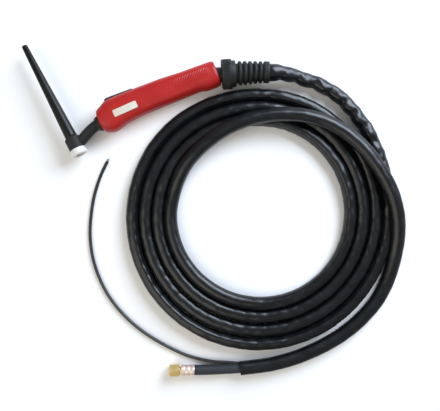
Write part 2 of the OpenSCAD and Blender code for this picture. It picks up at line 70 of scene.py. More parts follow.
LEAD_IN = [
    [135.9, -65.6, 18.4], [142, -68, 17.8], [150, -71.4, 16.3], [160, -76.5, 13.4],
    [172, -84.7, 10], [184.3, -94.8, 8.5], [197.4, -107.5, 8.5], [208.2, -122.6, 8.5],
    [216.3, -139.7, 8.5], [222.3, -158, 8.5], [226.6, -176.7, 8.5], [228.6, -196.8, 8.5],
]
LEAD_OUT = [
    [-45, -185.5, 8.5], [-38.8, -173.6, 8.6], [-31.3, -162.8, 9.5], [-19.3, -148.8, 13],
    [-4.3, -135.8, 17.5], [13.7, -125.8, 20.5], [35.7, -117.8, 22.5], [59.7, -112.8, 24.5],
    [83.7, -111.8, 25.6], [107.7, -114.8, 25.6], [131.7, -121.8, 25.6], [154.7, -132.8, 25.6],
    [175.2, -147.8, 25.6], [191.7, -166.3, 25.6], [204.7, -188.1, 25.6], [213.7, -212.3, 25.6],
    [219.5, -238.8, 25.4], [221.5, -266.3, 24], [218.5, -292.6, 20.5], [210.5, -318.3, 15],
    [198, -341.8, 10], [181.2, -363.8, 8.5], [158.7, -383.3, 8.5], [132.2, -397.4, 8.5],
    [102.7, -407.3, 8.5], [71.2, -412.2, 8.5], [39.7, -413.3, 8.5], [7.7, -410.3, 8.5],
    [-34.6, -400.1, 8.5],
]
POWER_ROUTE = [
    [9.7, -410, 8.3], [-12.3, -405.6, 8.2], [-34.6, -400.1, 8], [-55.6, -393.5, 7.4],
    [-75.6, -386.5, 7.7], [-92.6, -380, 8.2],
]
CONTROL_ROUTE = [
    [-26.4, -397, 6.8], [-33.3, -394.6, 6.2], [-46.4, -388.9, 5], [-58.1, -383.7, 4.6],
    [-69.6, -377.9, 3.6],
    [-80.8, -371, 2.4], [-91.5, -363, 2], [-103.4, -351.3, 2], [-118.7, -333.8, 2],
    [-134.8, -311.5, 2], [-148.9, -284.2, 2], [-158.7, -251.1, 2], [-160.9, -225.3, 2],
    [-159.2, -201.1, 2], [-153, -175.9, 2], [-139.8, -146.5, 2], [-125.2, -123.2, 2],
    [-109.4, -104.6, 2], [-96.5, -92.5, 2],
]
NECK_ROUTE = [
    [-141, -4.3, 0], [-149, -4.6, 0], [-156, -5.6, 0], [-163, -7.9, 0], [-170, -11, 0],
    [-176, -14.2, 0], [-182, -17.4, 0], [-186, -18.8, 0],
]
HANDLE_TOP = [
    [-149.2, 8.4], [-148.4, 10.4], [-146, 12], [-135, 18.2], [-128, 19.1], [-100, 19.3],
    [-60, 18.8], [-34, 17], [-7, 16.2], [5, 15.8], [8, 14.9],
]
HANDLE_BOTTOM = [
    [-149.2, -14], [-148.4, -15.6], [-146, -18.8], [-141, -20.8], [-136, -21.6], [-131, -20.9],
    [-125, -19.2], [-120, -17.2], [-113, -16.5], [-100, -15.2], [-74, -14.3], [-44, -14],
    [-18, -13.6], [-10, -16], [5, -16.1], [8, -15],
]
HANDLE_HALF = [
    [-149.2, 13], [-148, 14.3], [-144, 15.3], [-135, 15.6], [-100, 15.3], [-90, 15],
    [-60, 14.7], [-30, 14.8], [-10, 15.7], [5, 15.7], [8, 14.8],
]
# Each screw's place, and its boss's height, which stays under the skin
SCREWS = [[-34, 12, 8.7], [-78, 13, 9.9], [-133, -13.5, 11.4]]


# ---------- Camera, straight above the middle of the picture ----------

VIEW_CENTRE = (0.0177, -0.1982)
VIEW_TURN = math.radians(-21.5)
# The picture is VIEW_WIDTH wide at VIEW_LEVEL over the floor
VIEW_WIDTH = 0.5588
VIEW_LEVEL = 0.01
CAMERA_HEIGHT = 0.62
SENSOR = 36
camera_data = bpy.data.cameras.new("camera")
camera_data.sensor_width = SENSOR
camera_data.lens = SENSOR * (CAMERA_HEIGHT - VIEW_LEVEL) / VIEW_WIDTH
camera = bpy.data.objects.new("camera", camera_data)
camera.location = (*VIEW_CENTRE, CAMERA_HEIGHT)
camera.rotation_euler = (0, 0, VIEW_TURN)
bpy.context.scene.collection.objects.link(camera)
bpy.context.scene.camera = camera


# ---------- Materials ----------

def new_material(name):
    material = bpy.data.materials.new(name)
    material.use_nodes = True
    return material, material.node_tree.nodes, material.node_tree.links


def noise(nodes, links, where, scale, detail=3.0):
    node = nodes.new("ShaderNodeTexNoise")
    node.inputs["Scale"].default_value = scale
    node.inputs["Detail"].default_value = detail
    links.new(where, node.inputs["Vector"])
    return node.outputs["Fac"]


def spread(nodes, links, value, low, high, from_low=0.3, from_high=0.7):
    node = nodes.new("ShaderNodeMapRange")
    node.inputs["From Min"].default_value = from_low
    node.inputs["From Max"].default_value = from_high
    node.inputs["To Min"].default_value = low
    node.inputs["To Max"].default_value = high
    links.new(value, node.inputs["Value"])
    return node.outputs["Result"]


def mix(nodes, links, fac, a, b):
    node = nodes.new("ShaderNodeMix")
    node.data_type = "RGBA"
    links.new(fac, node.inputs["Factor"])
    for socket, colour in ((node.inputs[6], a), (node.inputs[7], b)):
        if isinstance(colour, tuple):
            socket.default_value = (*colour, 1)
        else:
            links.new(colour, socket)
    return node.outputs[2]


# Wear starts at this pointiness and is full a little further on, where it covers this share
WEAR_START = 0.56
WEAR_RAMP = 0.06
WEAR_SHARE = 0.55
COAT_ROUGHNESS = 0.2


def surface(name, dark, light, rough, metallic=0.0, blotch=40, grain=900, bump=0.00004,
            coat=0.0, wear=None, specular=0.5, fine=2600, fine_bump=0.0):
    """A moulded, rubber or metal finish: mottled colour and roughness, grain, and worn edges."""
    material, nodes, links = new_material(name)
    shader = nodes["Principled BSDF"]
    where = nodes.new("ShaderNodeTexCoord").outputs["Object"]
    patches = noise(nodes, links, where, blotch, 4)
    colour = mix(nodes, links, spread(nodes, links, patches, 0, 1), dark, light)
    if wear:
        edges = nodes.new("ShaderNodeNewGeometry").outputs["Pointiness"]
        worn = spread(nodes, links, edges, 0, WEAR_SHARE, WEAR_START, WEAR_START + WEAR_RAMP)
        rubbed = nodes.new("ShaderNodeMath")
        rubbed.operation = "MULTIPLY"
        links.new(worn, rubbed.inputs[0])
        broken = noise(nodes, links, where, blotch * 4)
        links.new(spread(nodes, links, broken, 0, 1), rubbed.inputs[1])
        colour = mix(nodes, links, rubbed.outputs[0], colour, wear)
    links.new(colour, shader.inputs["Base Color"])
    grains = noise(nodes, links, where, grain, 2)
    links.new(spread(nodes, links, patches, rough[0], rough[1]), shader.inputs["Roughness"])
    shader.inputs["Metallic"].default_value = metallic
    shader.inputs["Specular IOR Level"].default_value = specular
    shader.inputs["Coat Weight"].default_value = coat
    shader.inputs["Coat Roughness"].default_value = COAT_ROUGHNESS
    bumps = nodes.new("ShaderNodeBump")
    bumps.inputs["Distance"].default_value = bump
    links.new(grains, bumps.inputs["Height"])
    normal = bumps.outputs["Normal"]
    if fine_bump:
        fines = nodes.new("ShaderNodeBump")
        fines.inputs["Distance"].default_value = fine_bump
        links.new(noise(nodes, links, where, fine, 1), fines.inputs["Height"])
        links.new(normal, fines.inputs["Normal"])
        normal = fines.outputs["Normal"]
    links.new(normal, shader.inputs["Normal"])
    return material


FINISHES = {
    "handle_red": surface("red_nylon", (0.36, 0.011, 0.010), (0.43, 0.015, 0.013), (0.36, 0.46),
                          blotch=28, grain=1500, bump=0.00006, specular=0.35,
                          wear=(0.52, 0.05, 0.04)),
    "black_plastic": surface("black_plastic", (0.012, 0.012, 0.013), (0.022, 0.022, 0.024),
                             (0.38, 0.5), grain=1800, bump=0.00005, wear=(0.07, 0.07, 0.07)),
    "black_rubber": surface("black_rubber", (0.006, 0.0065, 0.006), (0.014, 0.0145, 0.0135),
                            (0.5, 0.66), blotch=60, grain=1400, bump=0.00007,
                            wear=(0.035, 0.035, 0.034), specular=0.35),
    "cap_black": surface("cap_phenolic", (0.003, 0.003, 0.0026), (0.007, 0.007, 0.006),
                         (0.30, 0.40), blotch=70, grain=2200, bump=0.00002, specular=0.3,
                         wear=(0.06, 0.06, 0.055)),
    "white_ptfe": surface("white_ptfe", (0.66, 0.65, 0.62), (0.74, 0.73, 0.70), (0.35, 0.5),
                          blotch=120, grain=1600, bump=0.00003),
    "label_cream": surface("label_face", (0.62, 0.58, 0.48), (0.68, 0.65, 0.55), (0.3, 0.42),
                           blotch=200, grain=2600, bump=0.00001),
    "switch_body": surface("switch_body", (0.02, 0.02, 0.022), (0.035, 0.035, 0.04), (0.45, 0.6)),
    "liner_white": surface("acetal", (0.62, 0.61, 0.57), (0.72, 0.71, 0.68), (0.35, 0.5)),
    "brass": surface("brass", (0.80, 0.58, 0.22), (0.90, 0.70, 0.32), (0.30, 0.42), metallic=1.0,
                     blotch=90, grain=1500, bump=0.000003),
    "ferrule_metal": surface("crimp_metal", (0.74, 0.57, 0.50), (0.84, 0.72, 0.62), (0.42, 0.52),
                             metallic=0.8, blotch=120, grain=1500, bump=0.000004),
    "copper_pipe": surface("copper", (0.62, 0.27, 0.14), (0.74, 0.37, 0.22), (0.3, 0.45),
                           metallic=1.0),
    "steel": surface("zinc_steel", (0.48, 0.48, 0.47), (0.62, 0.62, 0.6), (0.25, 0.4),
                     metallic=1.0, blotch=300),
    "hose_grey": surface("cable_jacket", (0.010, 0.014, 0.019), (0.018, 0.023, 0.030), (0.5, 0.64),
                         blotch=90, grain=2400, bump=0.00006, fine=1300, fine_bump=0.00005),
    "lead_black": surface("lead_jacket", (0.012, 0.012, 0.012), (0.022, 0.021, 0.02), (0.34, 0.46),
                          blotch=80, grain=2000, bump=0.00003),
    "wire_tin": surface("tinned_wire", (0.42, 0.41, 0.38), (0.58, 0.57, 0.53), (0.3, 0.45),
                        metallic=1.0),
    "sleeve_black": surface("coated_sleeve", (0.002, 0.0026, 0.0028), (0.005, 0.006, 0.0075),
                            (0.27, 0.37), blotch=70, grain=1100, bump=0.00006, coat=0.05,
                            fine=2600, fine_bump=0.00003, specular=0.42),
}

record = frame["record"]
for part in record["subparts"]:
    node_mesh = frame["nodes"][part["node"]].data
    for index in range(len(node_mesh.materials)):
        node_mesh.materials[index] = FINISHES[part["material_slot"]]


# ---------- Mesh helpers ----------

def loft_faces(count, sides, caps=True, ring=False):
    """Quads over count sections of sides points, capped, or joined from the last to the first."""
    rows = np.arange(count if ring else count - 1)[:, None]
    cols = np.arange(sides)[None]
    here = rows * sides
    there = (rows + 1) % count * sides
    after = (cols + 1) % sides
    quads = np.stack(
        np.broadcast_arrays(here + cols, here + after, there + after, there + cols), -1
    ).reshape(-1, 4).tolist()
    if caps and not ring:
        quads.append(list(range(sides))[::-1])
        quads.append(list(range((count - 1) * sides, count * sides)))
    return quads


def make_object(name, points, faces, sharp=38):
    """A mesh object from points in millimetres, smooth but for edges over the sharp angle."""
    mesh = bpy.data.meshes.new(name)
    flat = np.asarray(points, float).reshape(-1, 3) * MM
    mesh.from_pydata(flat.tolist(), [], faces)
    work = bmesh.new()
    work.from_mesh(mesh)
    bmesh.ops.recalc_face_normals(work, faces=work.faces)
    work.to_mesh(mesh)
    work.free()
    mesh.polygons.foreach_set("use_smooth", [True] * len(mesh.polygons))
    mesh.set_sharp_from_angle(angle=math.radians(sharp))
    obj = bpy.data.objects.new(name, mesh)
    bpy.context.scene.collection.objects.link(obj)
    return obj


def apply_modifiers(obj):
    depsgraph = bpy.context.evaluated_depsgraph_get()
    mesh = bpy.data.meshes.new_from_object(obj.evaluated_get(depsgraph))
    obj.modifiers.clear()
    obj.data = mesh
    return obj


def bevel(obj, width, segments=2, angle=35):
    modifier = obj.modifiers.new("bevel", "BEVEL")
    modifier.width = width * MM
    modifier.segments = segments
    modifier.limit_method = "ANGLE"
    modifier.angle_limit = math.radians(angle)
    return apply_modifiers(obj)


def cut(obj, tool, operation="DIFFERENCE"):
    modifier = obj.modifiers.new("cut", "BOOLEAN")
    modifier.operation = operation
    modifier.solver = "EXACT"
    modifier.object = tool
    bpy.context.view_layer.update()
    apply_modifiers(obj)
    bpy.data.objects.remove(tool)
    return obj


def drop_slivers(obj):
    """Splits the many-sided faces that a bevel or a boolean leaves, and dissolves those of no area."""
    work = bmesh.new()
    work.from_mesh(obj.data)
    many_sided = [face for face in work.faces if len(face.verts) > 4]
    bmesh.ops.triangulate(work, faces=many_sided)
    bmesh.ops.dissolve_degenerate(work, dist=SLIVER * MM, edges=work.edges)
    work.to_mesh(obj.data)
    work.free()
    return obj


def finish_piece(obj, body, slot, *nodes, sharp=38):
    """Gives a piece its finish, its body and the CAD nodes that it stands for."""
    obj.data.materials.clear()
    obj.data.materials.append(FINISHES[slot])
    obj.data.polygons.foreach_set("use_smooth", [True] * len(obj.data.polygons))
    obj.data.set_sharp_from_angle(angle=math.radians(sharp))
    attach(obj, body)
    if nodes:
        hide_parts(*nodes)
    return obj


def smooth_path(points, step):
    """A smooth curve through the points, sampled about every step millimetres."""
    knots = np.asarray(points, float)
    reach = np.r_[0, np.cumsum(np.linalg.norm(np.diff(knots, axis=0), axis=1))]
    slope = np.gradient(knots, reach, axis=0)
    at = np.linspace(0, reach[-1], int(round(reach[-1] / step)) + 1)
    i = np.clip(np.searchsorted(reach, at, side="right") - 1, 0, len(reach) - 2)
    span = (reach[i + 1] - reach[i])[:, None]
    t = (at - reach[i])[:, None] / span
    return (
        (2 * t**3 - 3 * t**2 + 1) * knots[i] + (t**3 - 2 * t**2 + t) * span * slope[i]
        + (3 * t**2 - 2 * t**3) * knots[i + 1] + (t**3 - t**2) * span * slope[i + 1]
    )


def path_frames(path):
    """Unit vectors along a path, to its right and up."""
    along = np.gradient(path, axis=0)
    along /= np.linalg.norm(along, axis=1)[:, None]
    side = np.cross(along, [0, 0, 1.0])
    side /= np.linalg.norm(side, axis=1)[:, None]
    return along, side, np.cross(side, along)


def tube_rings(path, radius, sides):
    """Sections about a path. radius is one number, one for each section, or one for each point."""
    _, side, up = path_frames(path)
    angle = np.linspace(0, 2 * math.pi, sides, endpoint=False)
    reach = np.asarray(radius, float)
    if reach.ndim == 1:
        reach = reach[:, None]
    reach = np.broadcast_to(reach, (len(path), sides))[..., None]
    spokes = (np.cos(angle)[None, :, None] * side[:, None]
              + np.sin(angle)[None, :, None] * up[:, None])
    return path[:, None] + reach * spokes


def lathe_points(profile, origin, axis, sides, ripple=None):
    """A profile of [radius, distance] points turned about an axis through origin."""
    axis = np.asarray(axis, float)
    across = np.cross(axis, [0, 0, 1.0])
    across /= np.linalg.norm(across)
    up = np.cross(across, axis)
    profile = np.asarray(profile, float)
    angle = np.linspace(0, 2 * math.pi, sides, endpoint=False)
    reach = np.repeat(profile[:, :1], sides, axis=1)
    if ripple is not None:
        reach = reach + ripple(profile[:, 1:2], angle[None])
    spokes = np.cos(angle)[:, None] * across + np.sin(angle)[:, None] * up
    middle = origin + profile[:, 1:2] * axis
    return middle[:, None] + reach[..., None] * spokes[None]


def lathe(name, profile, origin, axis, sides=72, ring=False, ripple=None, sharp=38):
    points = lathe_points(profile, origin, axis, sides, ripple)
    return make_object(name, points, loft_faces(len(profile), sides, ring=ring), sharp)


def wave_noise(along, angle, waves, seed):
    """Smooth noise over a tube's surface: a sum of waves, each [wavelength, turns, height]."""
    draw = np.random.default_rng(seed)
    total = 0
    for length, turns, height in waves:
        phase = draw.uniform(0, 2 * math.pi, 2)
        drift = 0.9 * np.sin(along / (length * 3.7) + phase[1])
        wave = 2 * math.pi * along / length + turns * angle
        total = total + height * np.sin(wave + drift + phase[0])
    return total


# ---------- Cable: sleeve, power cable, control lead ----------

# The outer turns sag outwards about SLACK_AT, each one less than the last, and every turn is
# pressed in about DENT_AT
SLACK_AT = math.radians(225)
SLACK = 3.2
SLACK_LOSS = 1.5
DENT_AT = math.radians(82)
DENT = 2.8


def sleeve_route():
    turns = np.arange(0.0, COIL_TURNS + 0.001, 1 / 24)
    angle = np.radians(COIL_START_ANGLE - 360 * turns)
    slack = (SLACK - SLACK_LOSS * turns) * np.maximum(0, np.cos(angle - SLACK_AT)) ** 2
    dent = DENT * np.maximum(0, np.cos(angle - DENT_AT)) ** 6
    reach = COIL_START_R - COIL_PITCH * turns + slack - dent
    coil = np.stack([
        COIL_CENTRE[0] + reach * np.cos(angle),
        COIL_CENTRE[1] + reach * np.sin(angle),
        np.full(len(turns), SLEEVE_R),
    ], axis=1)
    return np.concatenate([np.array(LEAD_IN), coil[1:], np.array(LEAD_OUT)[1:]])


SLEEVE_SIDES = 26
# The first part is bunched up, and the last part, past the coil, is nearly free of creases
BUNCHED_LENGTH = 300.0
BUNCHED_FADE = 90
CALM_LENGTH = 1010.0
CALM_FADE = 120
# Half widths: pressed together sideways in the coil, round where it runs free
COIL_HALF = 8.05
FREE_EXTRA = 0.5
HALF_TALL = 8.45
# The start is stretched over the bellows' end ring
MOUTH_EXTRA = 2.3
MOUTH_LENGTH = 34
# Lobes on the inside of the bend, with sharp creases between them
LOBE_PITCH = 16.5
BUNCHED_LOBE_PITCH = 22
LOBE_HEIGHT = 0.8
BUNCHED_LOBE_HEIGHT = 3.2
LOBE_LEVEL = 0.72
FOLD_WAVES = [[31, 1, 0.16], [19, -2, 0.13], [12.5, 3, 0.08], [47, 1, 0.16]]
# Hem of the seam, and the groove beside it
HEM_HEIGHT = 0.75
HEM_WIDTH = 0.30
GROOVE_DEPTH = 0.5
GROOVE_WIDTH = 0.16
GROOVE_OFF = 0.52
SLEEVE_WALL = 1.1
SLEEVE_INSIDE = 7
LOWEST = 0.15


def sleeve_lobes(s, angle, bunched, calm):
    """Height of the lobes at the distance s along the sleeve. They wander, and differ in height."""
    warp = 5.5 * np.sin(s / 61) + 3.8 * np.sin(s / 23.7 + 1)
    place = math.pi * (s + warp + 2.4 * np.cos(angle - 0.6))
    lobe = np.abs(np.sin(place / LOBE_PITCH)) ** 0.55
    wide_lobe = np.abs(np.sin(place / BUNCHED_LOBE_PITCH)) ** 0.6
    lobe = lobe + (wide_lobe - lobe) * np.clip(2 * bunched, 0, 1)
    inner = np.clip(np.cos(angle - 0.55), 0, 1) ** 1.1
    uneven = 0.6 + 0.4 * np.sin(s / 83) * np.sin(s / 37 + 2)
    height = LOBE_HEIGHT * (1 - calm) * uneven + BUNCHED_LOBE_HEIGHT * bunched
    return height * inner * (lobe - LOBE_LEVEL)


def sleeve_folds(s, angle, bunched, calm):
    """Height of the shallow folds, which are strongest on top and where the sleeve is bunched."""
    crown = np.clip(np.sin(angle), 0, 1)
    folds = wave_noise(s, angle, FOLD_WAVES, 5)
    return folds * (0.35 + 0.65 * crown) * (1 - 0.45 * calm + 2 * bunched)


def sleeve_hem(s, angle, calm):
    """A low strip with a groove beside it, which wanders round the sleeve."""
    seam = math.pi * (0.30 + 0.10 * np.sin(s / 410) + 0.52 * calm)
    off = (angle - seam + math.pi) % (2 * math.pi) - math.pi
    hem = HEM_HEIGHT * np.exp(-(off / HEM_WIDTH) ** 2)
    return hem - GROOVE_DEPTH * np.exp(-((off + GROOVE_OFF) / GROOVE_WIDTH) ** 2)


def sleeve_mesh(path):
    """The sleeve's skin: it bunches on the inside of its bends, and has a hem along its seam."""
    s = np.r_[0, np.cumsum(np.linalg.norm(np.diff(path, axis=0), axis=1))][:, None]
    angle = np.linspace(0, 2 * math.pi, SLEEVE_SIDES, endpoint=False)[None]
    bunched = np.clip((BUNCHED_LENGTH - s) / BUNCHED_FADE, 0, 1)
    calm = np.clip((s - s[-1] + CALM_LENGTH) / CALM_FADE, 0, 1)
    wide = COIL_HALF + FREE_EXTRA * np.maximum(bunched, calm)
    radius = 1 / np.sqrt((np.cos(angle) / wide) ** 2 + (np.sin(angle) / HALF_TALL) ** 2)
    radius = radius + MOUTH_EXTRA * np.clip(1 - s / MOUTH_LENGTH, 0, 1) ** 1.4
    radius = radius + sleeve_lobes(s, angle, bunched, calm)
    radius = radius + sleeve_folds(s, angle, bunched, calm)
    radius = radius + sleeve_hem(s, angle, calm)
    points = tube_rings(path, radius, SLEEVE_SIDES)
    points[..., 2] = np.maximum(points[..., 2], LOWEST)
    # Cut end: the wall turns in and runs back around the cable
    along = path_frames(path)[0]
    spokes = points[-1] - path[-1]
    size = np.linalg.norm(spokes, axis=1)[:, None]
    rim = path[-1] + spokes * (size - SLEEVE_WALL) / size
    inside = rim - SLEEVE_INSIDE * along[-1]
    points = np.concatenate([points, rim[None], inside[None]])
    return points, loft_faces(len(points), SLEEVE_SIDES)


sleeve_line = smooth_path(sleeve_route(), 2.2)
sleeve = make_object("cable_sleeve", *sleeve_mesh(sleeve_line), sharp=60)
finish_piece(sleeve, "cable_end", "sleeve_black",
             "sleeve_lead_in", "sleeve_coil", "sleeve_lead_out", sharp=60)


def union_point(distance):
    return UNION_START + distance * np.array([math.cos(UNION_ANGLE), math.sin(UNION_ANGLE), 0])


UNION_AXIS = union_point(1.0) - union_point(0.0)
ferrule_profile = [
    [6.35, 0], [6.7, 0], [6.8, 0.3], [6.8, 4.2], [6.65, 4.7], [6.65, 6.3], [6.8, 6.8], [6.8, 10.2],
    [6.65, 10.7], [6.65, 12.3], [6.8, 12.8], [6.8, 16.4], [6.3, 17], [4.45, 17], [4.45, 5.2],
    [6.35, 5],
]
ferrule = lathe("crimp_ferrule", ferrule_profile, UNION_START, UNION_AXIS, 64, ring=True, sharp=15)
finish_piece(ferrule, "cable_end", "ferrule_metal", "hose_ferrule")


def jacket(name, line, radius, sides, slot, node):
    rings = tube_rings(line, radius, sides)
    piece = make_object(name, rings, loft_faces(len(rings), sides))
    return finish_piece(piece, "cable_end", slot, node)


power_line = smooth_path(POWER_ROUTE, 2.0)
power = jacket("power_cable_jacket", power_line, HOSE_R, 40, "hose_grey", "power_cable")

control_line = smooth_path(CONTROL_ROUTE, 2.5)
control = jacket("control_lead_jacket", control_line, LEAD_R, 24, "lead_black", "control_lead")


# ---------- Handle ----------

WALL = 2.4
SLOT = (-136.0, -96.2)
SLOT_HALF = 5.3
# The section is a superellipse of this power, between an ellipse and a box
SQUARENESS = 2.5
SUPER_POWER = 2 / SQUARENESS
FRONT_WALL = -146.4
REAR_WALL = -19.0
# Openings: round the ball, its flared rim, the cables' way behind it, and the neck's hole
SOCKET_R = 13.37
RIM_START = 2
RIM_R = (12.3, 14.6)
RIM_LENGTH = 7
WAY_R = 10.5
NECK_HOLE_R = 6.95
NECK_HOLE_Y = -4.6
# Each half stops this far from the middle plane
SPLIT_GAP = 0.03
# The rows of points nearest the parting line sink in, as a groove between the halves
GROOVE_ROWS = ((0, 0.45), (1, 0.08))
OUTER_POINTS = 92
INNER_POINTS = 40
# A table is averaged over this far each way, less so nearer than EASE_FULL to its front end
EASE = 1.2
EASE_FULL = 8


def handle_stations():
    """Places along the handle, doubled where a wall or the slot starts and ends."""
    rough = np.concatenate([
        np.arange(-149.2, -144, 0.4), np.arange(-144, -76, 1.1), np.arange(-76, 0, 0.55),
        np.arange(0, 8.01, 0.4),
    ])
    steps = np.array([FRONT_WALL, SLOT[0], SLOT[1], REAR_WALL])
    doubled = np.concatenate([steps - 0.01, steps + 0.01])
    keep = rough[np.min(np.abs(rough[:, None] - steps[None]), axis=1) > 0.3]
    return np.sort(np.concatenate([keep, doubled]))


def eased(table, x):
    """A table's value at x, with its corners rounded."""
    at, value = np.array(table, float).T
    spreads = np.linspace(-EASE, EASE, 9)
    share = np.minimum(1, (x - at[0]) / EASE_FULL)
    inside = np.clip(x[:, None] + spreads[None] * share[:, None], at[0], at[-1])
    return np.interp(inside, at, value).mean(axis=1)


def socket_radius(x):
    """Radius of the opening behind the handle's rear wall."""
    ball = np.sqrt(np.maximum(SOCKET_R**2 - x**2, 0))
    flare = (x - RIM_START) / RIM_LENGTH * (RIM_R[1] - RIM_R[0])
    rim = np.where(x > RIM_START, RIM_R[0] + flare, 0)
    return np.maximum(np.where(x > -SOCKET_R, np.maximum(ball, rim), 0), WAY_R)


def window(value, low, high, soft):
    """1 between low and high, falling to 0 over soft inside each."""
    return np.clip((value - low) / soft, 0, 1) * np.clip((high - value) / soft, 0, 1)


def ribs(along, pitch):
    return (0.5 + 0.5 * np.sin(2 * math.pi * along / pitch)) ** 1.5


GRIP_LEAN = 0.95
GRIP_PITCH = 3.5
GRIP_HEIGHT = 0.85
LOWER_PITCH = 2.4
LOWER_HEIGHT = 0.5


def grip(x, y):
    """Height of the ribs moulded into the grip: slanted ones, and a lower row of short ones."""
    slanted = window(x, -50, 1, 5) * window(y, -5, 9.5, 2.5)
    lower = window(x, -94, -22, 7) * window(y, -11.5, -7, 1.5)
    return (GRIP_HEIGHT * slanted * ribs(x - y * GRIP_LEAN, GRIP_PITCH)
            + LOWER_HEIGHT * lower * ribs(x, LOWER_PITCH))


def shell_points():
    """Sections of the upper half: its outer skin from edge to edge, then its inner wall back."""
    x = handle_stations()
    top, bottom, half = eased(HANDLE_TOP, x), eased(HANDLE_BOTTOM, x), eased(HANDLE_HALF, x)
    middle, tall = (top + bottom) / 2, (top - bottom) / 2
    slotted = (x > SLOT[0]) & (x < SLOT[1])

    def arc(count, tall, half):
        slot_share = np.clip(SLOT_HALF / half, 0, 1) ** (1 / SUPER_POWER)
        low = np.where(slotted, np.arcsin(slot_share), 0)
        share = np.linspace(0, 1, count)[None]
        angle = low[:, None] + (math.pi - low[:, None]) * share
        c, s = np.cos(angle), np.sin(angle)
        y = middle[:, None] + tall[:, None] * np.sign(c) * np.abs(c) ** SUPER_POWER
        z = half[:, None] * np.abs(s) ** SUPER_POWER
        return y, z

    y, z = arc(OUTER_POINTS, tall, half)
    spread_x = np.repeat(x[:, None], OUTER_POINTS, axis=1)
    off_y = y - middle[:, None]
    steep = SQUARENESS - 1
    normal_y = np.sign(off_y) * (np.abs(off_y) / tall[:, None]) ** steep / tall[:, None]
    normal_z = (z / half[:, None]) ** steep / half[:, None]
    size = np.hypot(normal_y, normal_z)
    lift = grip(spread_x, y)
    for row, depth in GROOVE_ROWS:
        lift[:, [row, -1 - row]] -= depth
    lifted_y = y + lift * normal_y / size
    lifted_z = z + lift * normal_z / size + SPLIT_GAP
    outer = np.stack([spread_x, lifted_y, lifted_z], -1)

    inner_y, inner_z = arc(INNER_POINTS, tall - WALL, half - WALL)
    turn = np.linspace(0, math.pi, INNER_POINTS)[None]
    hole = socket_radius(x)[:, None]
    front = (x < FRONT_WALL)[:, None]
    rear = (x > REAR_WALL)[:, None]
    inner_y = np.where(front, NECK_HOLE_Y + NECK_HOLE_R * np.cos(turn), inner_y)
    inner_z = np.where(front, NECK_HOLE_R * np.sin(turn), inner_z)
    inner_y = np.where(rear, hole * np.cos(turn), inner_y)
    inner_z = np.where(rear, hole * np.sin(turn), inner_z)
    inner_x = np.repeat(x[:, None], INNER_POINTS, axis=1)
    inner = np.stack([inner_x, inner_y, inner_z + SPLIT_GAP], -1)[:, ::-1]
    return np.concatenate([outer, inner], axis=1)


BOSS_R = 3.2
SCREW_HOLE_R = 2.3
SCREW_SEAT = 8.6


def cylinder(name, centre, radius, low, high, sides=36):
    """A cylinder along z, between the heights low and high over centre."""
    angle = np.linspace(0, 2 * math.pi, sides, endpoint=False)
    ring = centre + radius * np.column_stack([np.cos(angle), np.sin(angle), 0 * angle])
    points = np.array([ring + [0, 0, low], ring + [0, 0, high]])
    return make_object(name, points, loft_faces(2, sides))


half_shell = shell_points()
for name, flip, node in (("handle_half_upper", 1, "handle_upper_shell"),
                         ("handle_half_lower", -1, "handle_lower_shell")):
    points = half_shell * np.array([1, 1, flip]) + BALL
    shell = make_object(name, points, loft_faces(*half_shell.shape[:2]), sharp=32)
    if flip < 0:
        for x, y, height in SCREWS:
            centre = BALL + np.array([x, y, 0])
            cut(shell, cylinder("boss", centre, BOSS_R, -height, -0.1), "UNION")
            cut(shell, cylinder("counterbore", centre, SCREW_HOLE_R, -19, -SCREW_SEAT))
    finish_piece(shell, "handle", "handle_red", node, sharp=32)


LABEL_SIZE = (31, 8.6, 1.6)
LABEL_PLACE = (-113.2, -2.2)
LABEL_UNDER = 14.7
LABEL_THICK = 1.1
LABEL_EDGE = 0.2
LABEL_TILT = 4
LABEL_TURN = 2.5


def turn_about(axis, degrees):
    return np.array(Matrix.Rotation(math.radians(degrees), 3, axis))


def label():
    """The label's plate, set into the upper half. LABEL_SIZE is length, width and corner."""
    length, width, corner = LABEL_SIZE
    outline = []
    for cx, cy, start in ((1, 1, 0), (-1, 1, 90), (-1, -1, 180), (1, -1, 270)):
        for a in np.radians(np.linspace(start, start + 90, 9)):
            outline.append([cx * (length / 2 - corner) + corner * math.cos(a),
                            cy * (width / 2 - corner) + corner * math.sin(a)])
    flat = np.array(outline)
    heights = (LABEL_UNDER, LABEL_UNDER + LABEL_THICK)
    rings = [np.column_stack([flat, np.full(len(flat), z)]) for z in heights]
    points = np.array(rings) @ turn_about("X", LABEL_TILT).T @ turn_about("Z", LABEL_TURN).T
    points = points + BALL + np.array([*LABEL_PLACE, 0])
    return bevel(make_object("label_face", points, loft_faces(2, len(flat))), LABEL_EDGE)


finish_piece(label(), "handle", "label_cream", "label_plate")


TRIGGER_HALF = 4.8
TRIGGER_EDGE = 0.6


def trigger():
    """The lever's paddle, deeper at its rear end, where it turns on the pin."""
    front, rear, top, base = -135.2, -97.0, 20.9, 14.75
    outline = [
        [front, 18.3], [front + 1, 20.1], [front + 4, top], [rear - 3.2, 20.3], [rear, 20],
        [rear, 14.2], [-104.5, 13.4], [-106.5, base], [front + 0.6, base], [front, 15.4],
    ]
    rings = [[[x, y, z] for x, y in outline] for z in (-TRIGGER_HALF, TRIGGER_HALF)]
    points = np.array(rings) + BALL
    paddle = make_object("trigger_paddle", points, loft_faces(2, len(outline)))
    return drop_slivers(bevel(paddle, TRIGGER_EDGE, 3))


finish_piece(trigger(), "trigger", "black_plastic", "trigger_lever")


# ---------- Head, neck and back cap ----------

HEAD_R, HEAD_HALF, CORE_R = 9.8, 8.3, 6.4
NECK_R = 6.7
# The rubber is remeshed in cells of this size and relaxed, which softens its inner corners
CELL = 0.55
RELAX_STEPS = 6


